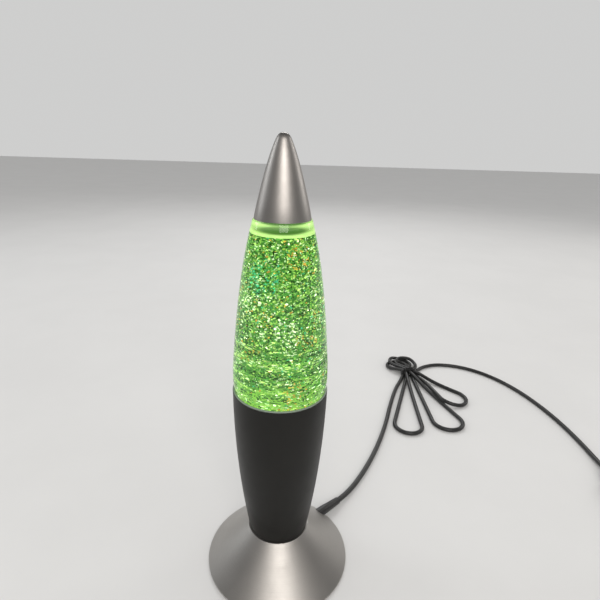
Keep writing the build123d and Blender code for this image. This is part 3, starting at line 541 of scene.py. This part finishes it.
finishes = {
    "foot_silver": spunMetal("footSilver"),
    "cap_silver": spunMetal("capSilver"),
    # the collar's slot takes the painted dark reflection
    "collar_graphite": spunMetal("collarPaintedDarkReflection"),
    "bottle_clear": clearGlass("bottleClear", (0.80, 0.97, 0.68), 1.45),
    "stem_glass": clearGlass("stemGlass", (0.97, 0.98, 0.97), 1.50),
    "bulb_reflector": reflectorGlass(),
    "filament_glow": glowingFilament(),
    "flex_black": flexSheath(),
    "zinc_steel": platedMetal("zincSteel", (0.62, 0.62, 0.60), (0.42, 0.42, 0.40), 0.26, 0.6),
    "contact_brass": platedMetal("contactBrass", (0.78, 0.58, 0.26), (0.46, 0.31, 0.13), 0.24, 0.6),
    "solder_grey": platedMetal("solderGrey", (0.56, 0.56, 0.57), (0.36, 0.36, 0.36), 0.34, 0.7),
    "bulb_cap_nickel": platedMetal("bulbCapNickel", (0.70, 0.68, 0.62), (0.48, 0.45, 0.38), 0.20, 0.5),
    "pin_nickel": platedMetal("pinNickel", (0.74, 0.72, 0.67), (0.55, 0.52, 0.45), 0.16, 0.4),
    "closure_black": plastic("closureBlack"),
    "liner_white": plastic("linerWhite"),
    "insert_black": plastic("foamBlack"),
    "seat_grey": plastic("seatRubber"),
    "plate_black": plastic("plateBlack"),
    "feet_rubber": plastic("feetRubber"),
    "holder_black": plastic("phenolicBlack"),
    "holder_ceramic": plastic("ceramicCream"),
    "insulator_black": plastic("blackGlass"),
    "wire_brown": plastic("wireBrown"),
    "wire_blue": plastic("wireBlue"),
    "clamp_white": plastic("nylonWhite"),
    "tie_black": plastic("tieBlack"),
    "switch_black": plastic("mouldedBlack"),
    "rocker_black": plastic("rockerBlack"),
    "plug_black": plastic("plugBlack"),
}
print("finishes made:", len(finishes))


# the light in the bottle: a soft bright core, a film of light on the surface, and the glitter round them

glow = {
    "coreShare": 0.80,       # the core's radius, as a share of the liquid's
    "surfaceShare": 0.97,
    "surfaceDrop": 0.0004,
    "surfaceThickness": 0.0005,
    "rings": 72,
    "segments": 96,
    "deep": (0.030, 0.130, 0.018),
    "mid": (0.090, 0.340, 0.045),
    "lime": (0.340, 0.720, 0.100),
    "pale": (0.760, 0.980, 0.560),
    "strength": 1.0,
}

glitterLook = {
    "seed": 11,
    "count": 16500,
    "side": (0.0005, 0.0013),
    "longest": 1.9,           # length against width of the flakes that lie level
    "thickness": 0.00005,
    "outerShare": 0.985,
    "streakTop": 0.207,       # below this height the flakes draw out into level streaks
    "streakShare": 0.42,
    "clusterShare": 0.26,
    # share of the flakes, then colour and how bright it can flash; the colours are painted light, the flakes as the
    # bulb lights them through the green liquid, and the near-black kind is painted shade between them
    "kinds": [
        (0.27, (0.110, 0.340, 0.075), 1.3),
        (0.22, (0.290, 0.510, 0.120), 1.3),
        (0.14, (0.580, 0.780, 0.250), 1.5),
        (0.11, (0.860, 1.000, 0.700), 2.0),
        (0.20, (0.016, 0.060, 0.009), 1.2),
        (0.03, (0.760, 0.420, 0.090), 1.3),
        (0.02, (0.090, 0.560, 0.340), 1.4),
        (0.01, (1.000, 0.980, 0.900), 2.4),
    ],
    # clusters of one kind: kind, turn in degrees from the front, height, reach
    "clusters": [
        (5, 34.0, 0.266, 0.009),
        (5, 40.0, 0.212, 0.008),
        (5, -44.0, 0.203, 0.008),
        (5, -22.0, 0.226, 0.007),
        (5, 22.0, 0.176, 0.009),
        (5, 12.0, 0.164, 0.009),
        (6, -28.0, 0.252, 0.013),
        (3, -44.0, 0.238, 0.015),
        (7, 12.0, 0.218, 0.010),
        (4, 30.0, 0.186, 0.010),
    ],
}


def wallProfile(node, count):
    # (height, radius) up the side of a turned node, read from its own vertices
    low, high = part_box(node)
    widest = [0.0] * (count + 1)
    for vertex in parts[node].data.vertices:
        level = round((vertex.co.z - low.z) / (high.z - low.z) * count)
        widest[level] = max(widest[level], math.hypot(vertex.co.x, vertex.co.y))
    known = [number for number, radius in enumerate(widest) if radius > 0]
    profile = []
    for number in range(count + 1):
        below = max(k for k in known if k <= number)
        above = min(k for k in known if k >= number)
        share = 0.0 if above == below else (number - below) / (above - below)
        radius = widest[below] + (widest[above] - widest[below]) * share
        profile.append((low.z + (high.z - low.z) * number / count, radius))
    return profile


def radiusAt(profile, z):
    first, last = profile[0][0], profile[-1][0]
    place = min(max((z - first) / (last - first), 0.0), 1.0) * (len(profile) - 1)
    below = min(int(place), len(profile) - 2)
    return profile[below][1] + (profile[below + 1][1] - profile[below][1]) * (place - below)


def turnedMesh(name, outline, segments):
    # outline is (radius, height) from the axis at the bottom to the axis at the top
    vertices = [(0.0, 0.0, outline[0][1])]
    for radius, z in outline[1:-1]:
        for number in range(segments):
            turn = 2 * math.pi * number / segments
            vertices.append((radius * math.cos(turn), radius * math.sin(turn), z))
    vertices.append((0.0, 0.0, outline[-1][1]))
    rings = len(outline) - 2
    faces = []
    for number in range(segments):
        beside = (number + 1) % segments
        faces.append((0, 1 + beside, 1 + number))
        for ring in range(rings - 1):
            start = 1 + ring * segments
            faces.append((start + number, start + beside, start + segments + beside, start + segments + number))
        start = 1 + (rings - 1) * segments
        faces.append((start + number, start + beside, len(vertices) - 1))
    mesh = bpy.data.meshes.new(name)
    mesh.from_pydata(vertices, [], faces)
    mesh.shade_smooth()
    piece = bpy.data.objects.new(name, mesh)
    bpy.context.scene.collection.objects.link(piece)
    return piece


def glowMaterial():
    # blurred flakes far inside: two sizes of cell over a slow swirl, brighter low down by the bulb
    material, tree, shader = newMaterial("liquidGlow", Roughness=0.5)
    shader.inputs["Emission Strength"].default_value = glow["strength"]
    place = addNode(tree, "TexCoord")
    split = addNode(tree, "SeparateXYZ")
    link(tree, place.outputs["Object"], split.inputs["Vector"])
    swirl = addNode(tree, "TexNoise", Scale=42.0, Detail=3.0, Roughness=0.6, Distortion=0.8)
    link(tree, place.outputs["Object"], swirl.inputs["Vector"])
    soft = spread(tree, swirl.outputs["Fac"], 0.30, 0.70)
    colour = mixColour(tree, soft, glow["deep"], glow["mid"])
    for scale, tint, low, high in ((620.0, glow["lime"], 0.62, 0.80), (900.0, glow["pale"], 0.76, 0.90),
                                   (760.0, (0.010, 0.040, 0.006), 0.66, 0.84)):
        cells = addNode(tree, "TexVoronoi", Scale=scale, Randomness=1.0)
        link(tree, place.outputs["Object"], cells.inputs["Vector"])
        grey = addNode(tree, "SeparateColor")
        link(tree, cells.outputs["Color"], grey.inputs["Color"])
        flake = spread(tree, grey.outputs["Red"], low, high)
        near = spread(tree, cells.outputs["Distance"], 0.55, 0.30)
        colour = mixColour(tree, maths(tree, "MULTIPLY", flake, near), colour, tint)
    # long streaks where the wall of the bottle bends the light
    stretch = addNode(tree, "Mapping")
    stretch.inputs["Scale"].default_value = (9.0, 9.0, 260.0)
    link(tree, place.outputs["Object"], stretch.inputs["Vector"])
    streak = addNode(tree, "TexNoise", Scale=1.0, Detail=3.0, Roughness=0.55, Distortion=0.3)
    link(tree, stretch.outputs["Vector"], streak.inputs["Vector"])
    lower = spread(tree, split.outputs["Z"], 0.206, 0.178)
    banded = maths(tree, "MULTIPLY", spread(tree, streak.outputs["Fac"], 0.48, 0.62), lower)
    colour = mixColour(tree, maths(tree, "MULTIPLY", banded, 0.75), colour, glow["lime"])
    shaded = maths(tree, "MULTIPLY", spread(tree, streak.outputs["Fac"], 0.46, 0.36), lower)
    colour = mixColour(tree, maths(tree, "MULTIPLY", shaded, 0.7), colour, glow["deep"])
    foot = spread(tree, split.outputs["Z"], 0.176, 0.163)
    colour = mixColour(tree, maths(tree, "MULTIPLY", foot, 0.75), colour, glow["lime"])
    link(tree, colour, shader.inputs["Emission Color"])
    link(tree, mixColour(tree, 0.85, colour, (0.0, 0.0, 0.0)), shader.inputs["Base Color"])
    return material


def surfaceMaterial():
    material, tree, shader = newMaterial("surfaceGlow", Roughness=0.3)
    shader.inputs["Emission Strength"].default_value = 1.25
    place = addNode(tree, "TexCoord")
    patchy = addNode(tree, "TexNoise", Scale=150.0, Detail=3.0)
    link(tree, place.outputs["Object"], patchy.inputs["Vector"])
    split = addNode(tree, "VectorMath", operation="MULTIPLY")
    split.inputs[1].default_value = (1.0, 1.0, 0.0)
    link(tree, place.outputs["Object"], split.inputs[0])
    away = addNode(tree, "VectorMath", operation="LENGTH")
    link(tree, split.outputs["Vector"], away.inputs[0])
    # the liquid climbs the glass a little, and this rim catches the light
    rim = spread(tree, away.outputs["Value"], 0.0085, 0.0165)
    rim = maths(tree, "MULTIPLY", rim, spread(tree, patchy.outputs["Fac"], 0.2, 0.6, 0.7, 1.0))
    colour = mixColour(tree, rim, (0.060, 0.160, 0.024), (0.640, 0.900, 0.330))
    link(tree, colour, shader.inputs["Emission Color"])
    link(tree, mixColour(tree, 0.7, colour, (0.0, 0.0, 0.0)), shader.inputs["Base Color"])
    return material


def foilGlowMaterial():
    # each flake's colour is in the mesh, and it is painted light: the flakes glow with it in place of the bulb's
    # light through the liquid
    material, tree, shader = newMaterial("glitterFoilGlow", Metallic=0.7, Roughness=0.22)
    shader.inputs["Emission Strength"].default_value = 0.85
    flakeLight = addNode(tree, "VertexColor", layer_name="flakePaintedLight")
    link(tree, flakeLight.outputs["Color"], shader.inputs["Base Color"])
    link(tree, flakeLight.outputs["Color"], shader.inputs["Emission Color"])
    return material


liquidSide = wallProfile("liquid", 64)
liquidBottom = liquidSide[0][0]
liquidTop = liquidSide[-1][0]


def makeCore():
    share = glow["coreShare"]
    low = liquidBottom + 0.0008
    high = liquidTop - 0.0012
    outline = [(0.0, low)]
    for number in range(glow["rings"] + 1):
        z = low + (high - low) * number / glow["rings"]
        outline.append((share * radiusAt(liquidSide, z), z))
    outline.append((0.0, high))
    core = turnedMesh("liquid_glow", outline, glow["segments"])
    core.data.materials.append(glowMaterial())
    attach(core, "bottle")


def makeWall():
    # the bottle with its liquid against the glass: one refracting body, so the glitter fills it to the edge
    side = wallProfile("bottle_glass", 180)
    outline = [(0.0, side[0][0])] + [(radius, z) for z, radius in side] + [(0.0, side[-1][0])]
    wall = turnedMesh("bottle_wall", outline, 2 * glow["segments"])
    wall.data.materials.append(finishes["bottle_clear"])
    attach(wall, "bottle")
    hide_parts("bottle_glass")


def makeSurface():
    top = liquidTop - glow["surfaceDrop"]
    bottom = top - glow["surfaceThickness"]
    radius = glow["surfaceShare"] * radiusAt(liquidSide, top)
    rim = 0.25 * glow["surfaceThickness"]
    outline = [(0.0, bottom), (radius - rim, bottom), (radius, bottom + rim),
               (radius, top - rim), (radius - rim, top), (0.0, top)]
    surface = turnedMesh("liquid_surface", outline, glow["segments"])
    surface.data.materials.append(surfaceMaterial())
    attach(surface, "bottle")


def flakeKind(turn, z, chance):
    # flakes near a cluster's middle take its colour
    for kind, clusterTurn, height, reach in glitterLook["clusters"]:
        away = abs((turn - clusterTurn + 180.0) % 360.0 - 180.0)
        across = math.radians(away) * radiusAt(liquidSide, z)
        if math.hypot(across, z - height) < reach and chance.random() < glitterLook["clusterShare"]:
            return kind
    pick = chance.random()
    for number, (share, colour, flash) in enumerate(glitterLook["kinds"]):
        if pick < share:
            return number
        pick -= share
    return 0


def streakKind(turn, z, chance):
    # light and dark levels follow the curve of the shoulder, and fade in and out round the bottle
    phase = z / 0.0016 + 0.6 * math.sin(math.radians(turn * 3)) + 1.3 * math.sin(z / 0.0047)
    level = math.sin(phase) + chance.gauss(0.0, 0.35)
    if level > 0.45:
        return 2 if chance.random() < 0.7 else 3
    return 4 if level < -0.35 else 0


def makeGlitter():
    chance = random.Random(glitterLook["seed"])
    vertices, faces, flakeLightAndColour = [], [], []
    low, high = liquidBottom + 0.002, liquidTop - 0.0016
    inner, outer = glow["coreShare"] + 0.02, glitterLook["outerShare"]
    sides = ((0, 3, 2, 1), (4, 5, 6, 7), (0, 1, 5, 4), (1, 2, 6, 5), (2, 3, 7, 6), (3, 0, 4, 7))
    for number in range(glitterLook["count"]):
        z = low + (high - low) * chance.random() ** 0.95
        wall = radiusAt(liquidSide, z)
        r = wall * math.sqrt(chance.uniform(inner ** 2, outer ** 2))
        side = chance.uniform(*glitterLook["side"])
        r = min(r, wall * outer - side * 0.9)
        turn = chance.uniform(-180.0, 180.0)
        kind = flakeKind(turn, z, chance)
        streak = z < glitterLook["streakTop"] and chance.random() < glitterLook["streakShare"]
        if streak:
            kind = streakKind(turn, z, chance)
        # the front is towards -Y
        bearing = math.radians(turn - 90.0)
        place = Vector((r * math.cos(bearing), r * math.sin(bearing), z))
        loose = 0.12 if streak else 0.75
        tilt = Matrix.Rotation(chance.gauss(0.0, loose), 3, "Z") @ Matrix.Rotation(chance.gauss(0.0, loose), 3, "X")
        facing = Matrix.Rotation(bearing + math.pi / 2, 3, "Z") @ tilt @ Matrix.Rotation(math.pi / 2, 3, "X")
        facing = facing @ Matrix.Rotation(chance.gauss(0.0, 0.10 if streak else 0.55), 3, "Z")
        thick = glitterLook["thickness"] / 2
        long = side / 2 * (chance.uniform(1.6, 3.0) if streak else chance.uniform(1.0, glitterLook["longest"]))
        tall = side / 2 * (0.5 if streak else chance.uniform(0.7, 1.0))
        start = len(vertices)
        for h in (-thick, thick):
            for x, y in ((-long, -tall), (long, -tall), (long, tall), (-long, tall)):
                vertices.append(place + facing @ Vector((x, y, h)))
        faces += [tuple(start + corner for corner in face) for face in sides]
        share, colour, flash = glitterLook["kinds"][kind]
        # painted glints: a share of the flakes flash up to their kind's brightest
        bright = chance.uniform(0.55, 1.0) if chance.random() < 0.7 else chance.uniform(1.0, flash)
        flakeLightAndColour += [(*(value * bright for value in colour), 1.0)] * 8
    mesh = bpy.data.meshes.new("glitter_flakes")
    mesh.from_pydata(vertices, [], faces)
    layer = mesh.color_attributes.new("flakePaintedLight", "FLOAT_COLOR", "POINT")
    layer.data.foreach_set("color", [value for colour in flakeLightAndColour for value in colour])
    mesh.materials.append(foilGlowMaterial())
    flakes = bpy.data.objects.new("glitter_flakes", mesh)
    bpy.context.scene.collection.objects.link(flakes)
    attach(flakes, "bottle")
    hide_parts("glitter")


makeWall()
makeCore()
makeSurface()
makeGlitter()
finishes["glowing_liquid"] = clearGlass("liquidClear", (0.94, 1.0, 0.92), 1.02)
print("bottle filled")


# the twist tie round the hank: a flat band, and its two ends wound together

tie = {
    "width": 4.0,
    "thickness": 0.8,
    "halfAcross": 12.5,
    "bottom": 0.45,
    "top": 11.75,
    "corner": 3.2,
    "tailLength": 15.0,
    "tailTurns": 2.5,
    "tailHeight": 13.1,
    "tailWound": 0.72,        # the share of a tail that is wound; the rest opens out
    "tailOut": 0.75,
    "tailSplay": 9.0,
    "tailSize": (1.9, 0.7),
    "sides": 12,
}


def ribbon(centres, sideways, width, thickness, closed):
    # a flat strip with soft edges; sideways is the direction of its width at each centre
    shape = []
    sides = tie["sides"]
    for number in range(sides):
        angle = 2 * math.pi * number / sides
        x = math.copysign(abs(math.cos(angle)) ** 0.5, math.cos(angle)) * width / 2
        y = math.copysign(abs(math.sin(angle)) ** 0.6, math.sin(angle)) * thickness / 2
        shape.append((x, y * (1.25 if abs(x) < width * 0.2 else 1.0)))
    vertices, faces = [], []
    count = len(centres)
    for number, centre in enumerate(centres):
        before = centres[number - 1] if closed or number else centre
        after = centres[(number + 1) % count] if closed or number < count - 1 else centre
        along = (after - before).normalized()
        across = (sideways[number] - along * sideways[number].dot(along)).normalized()
        up = along.cross(across)
        vertices += [centre + across * x + up * y for x, y in shape]
    steps = count if closed else count - 1
    for number in range(steps):
        start, following = number * sides, ((number + 1) % count) * sides
        for corner in range(sides):
            beside = (corner + 1) % sides
            faces.append((start + corner, start + beside, following + beside, following + corner))
    if not closed:
        faces.append(tuple(reversed(range(sides))))
        faces.append(tuple(range(len(vertices) - sides, len(vertices))))
    return vertices, faces


def tablePoint(along, across, height):
    return Vector([value * mm for value in hankPoint(along, across, height)])


def makeTie():
    centres = []
    reach, corner = tie["halfAcross"], tie["corner"]
    middle = (tie["bottom"] + tie["top"]) / 2
    tall = (tie["top"] - tie["bottom"]) / 2
    for cornerX, cornerZ, first in ((1, -1, -90), (1, 1, 0), (-1, 1, 90), (-1, -1, 180)):
        for step in range(7):
            angle = math.radians(first + 15 * step)
            across = cornerX * (reach - corner) + corner * math.cos(angle)
            height = middle + cornerZ * (tall - corner) + corner * math.sin(angle)
            centres.append(tablePoint(0, across, height))
    lengthways = tablePoint(1, 0, 0) - tablePoint(0, 0, 0)
    vertices, faces = ribbon(
        centres, [lengthways] * len(centres), tie["width"] * mm, tie["thickness"] * mm, True)
    for phase in (0.0, math.pi):
        tail, sides = [], []
        for step in range(49):
            share = step / 48
            wound = min(share / tie["tailWound"], 1.0)
            angle = phase + 2 * math.pi * tie["tailTurns"] * wound
            past = max(share - tie["tailWound"], 0.0)
            out = tie["tailOut"] + past * tie["tailSplay"] * (1.0 if phase else -0.6)
            height = tie["tailHeight"] + tie["tailOut"] * math.sin(angle) * (1 - 0.5 * past)
            tail.append(tablePoint(out * math.cos(angle), 4.5 - tie["tailLength"] * share, height))
            sides.append(lengthways * math.cos(angle + 0.6) + Vector((0, 0, 1)) * math.sin(angle + 0.6) * mm)
        more, moreFaces = ribbon(tail, sides, tie["tailSize"][0] * mm, tie["tailSize"][1] * mm, False)
        faces += [tuple(corner + len(vertices) for corner in face) for face in moreFaces]
        vertices += more
    mesh = bpy.data.meshes.new("twist_tie")
    mesh.from_pydata(vertices, [], faces)
    mesh.shade_smooth()
    mesh.materials.append(finishes["tie_black"])
    piece = bpy.data.objects.new("twist_tie", mesh)
    bpy.context.scene.collection.objects.link(piece)
    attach(piece, "base")
    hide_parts("hank_tie")


makeTie()


# every carried-over node takes the finish of its slot

for row in frame["record"]["subparts"]:
    data = parts[row["node"]].data
    if row["material_slot"] in finishes:
        data.materials[0] = finishes[row["material_slot"]]
for cordPiece in (mainLead, plugLead):
    cordPiece.data.materials.append(finishes["flex_black"])
print("finishes on")


# table and light

studio = {
    "table": (0.61, 0.605, 0.595),
    "tableRough": 0.60,
    "backdrop": (0.62, 0.62, 0.615),
    "ambient": 0.78,
    "mirrored": 0.11,
    # name, place, size, power, colour
    "lamps": [
        ("keyLight", (0.20, -1.35, 1.20), (0.95, 1.0), 13.0, (1.0, 0.96, 0.92)),
        ("leftFill", (-1.5, 0.5, 0.9), (0.5, 1.0), 4.5, (0.95, 0.98, 1.0)),
        ("rightFill", (1.6, 0.9, 0.9), (0.5, 1.0), 4.5, (1.0, 0.98, 0.95)),
        ("backLight", (0.1, 1.6, 1.3), (0.9, 0.8), 9.0, (1.0, 1.0, 1.0)),
    ],
}


def makeTable():
    mesh = bpy.data.meshes.new("table")
    reach = 6.0
    corners = [(-reach, -reach, 0), (reach, -reach, 0), (reach, reach, 0), (-reach, reach, 0)]
    mesh.from_pydata(corners, [], [(0, 1, 2, 3)])
    table = bpy.data.objects.new("table", mesh)
    bpy.context.scene.collection.objects.link(table)
    material, tree, shader = newMaterial("tableTop")
    grain = useGroup(tree, fineGrain, Scale=900.0, Mottle=6.0)
    shade = tuple(value * 0.97 for value in studio["table"])
    link(tree, mixColour(tree, grain.outputs["Mottle"], studio["table"], shade), shader.inputs["Base Color"])
    shader.inputs["Roughness"].default_value = studio["tableRough"]
    mesh.materials.append(material)


def makeWorld():
    world = bpy.data.worlds.new("studio")
    bpy.context.scene.world = world
    world.use_nodes = True
    tree = world.node_tree
    tree.nodes.clear()
    output = tree.nodes.new("ShaderNodeOutputWorld")
    rays = addNode(tree, "LightPath")
    seen = addNode(tree, "Background", Strength=1.0)
    seen.inputs["Color"].default_value = (*studio["backdrop"], 1.0)
    soft = addNode(tree, "Background", Strength=studio["ambient"])
    soft.inputs["Color"].default_value = (1.0, 1.0, 1.0, 1.0)
    dim = addNode(tree, "Background", Strength=studio["mirrored"])
    dim.inputs["Color"].default_value = (1.0, 1.0, 1.0, 1.0)
    glossy = addNode(tree, "MixShader")
    link(tree, rays.outputs["Is Glossy Ray"], glossy.inputs["Fac"])
    link(tree, soft.outputs["Background"], glossy.inputs[1])
    link(tree, dim.outputs["Background"], glossy.inputs[2])
    camera = addNode(tree, "MixShader")
    link(tree, rays.outputs["Is Camera Ray"], camera.inputs["Fac"])
    link(tree, glossy.outputs["Shader"], camera.inputs[1])
    link(tree, seen.outputs["Background"], camera.inputs[2])
    link(tree, camera.outputs["Shader"], output.inputs["Surface"])


def makeLamps():
    aim = Vector((0.05, 0.05, 0.15))
    for name, place, (width, height), power, colour in studio["lamps"]:
        data = bpy.data.lights.new(name, "AREA")
        data.shape = "RECTANGLE"
        data.size = width
        data.size_y = height
        data.energy = power
        data.color = colour
        light = bpy.data.objects.new(name, data)
        light.location = place
        light.rotation_euler = (aim - Vector(place)).to_track_quat("-Z", "Y").to_euler()
        bpy.context.scene.collection.objects.link(light)


makeTable()
makeWorld()
makeLamps()
bpy.context.scene.view_settings.view_transform = "Standard"
print("studio lit")
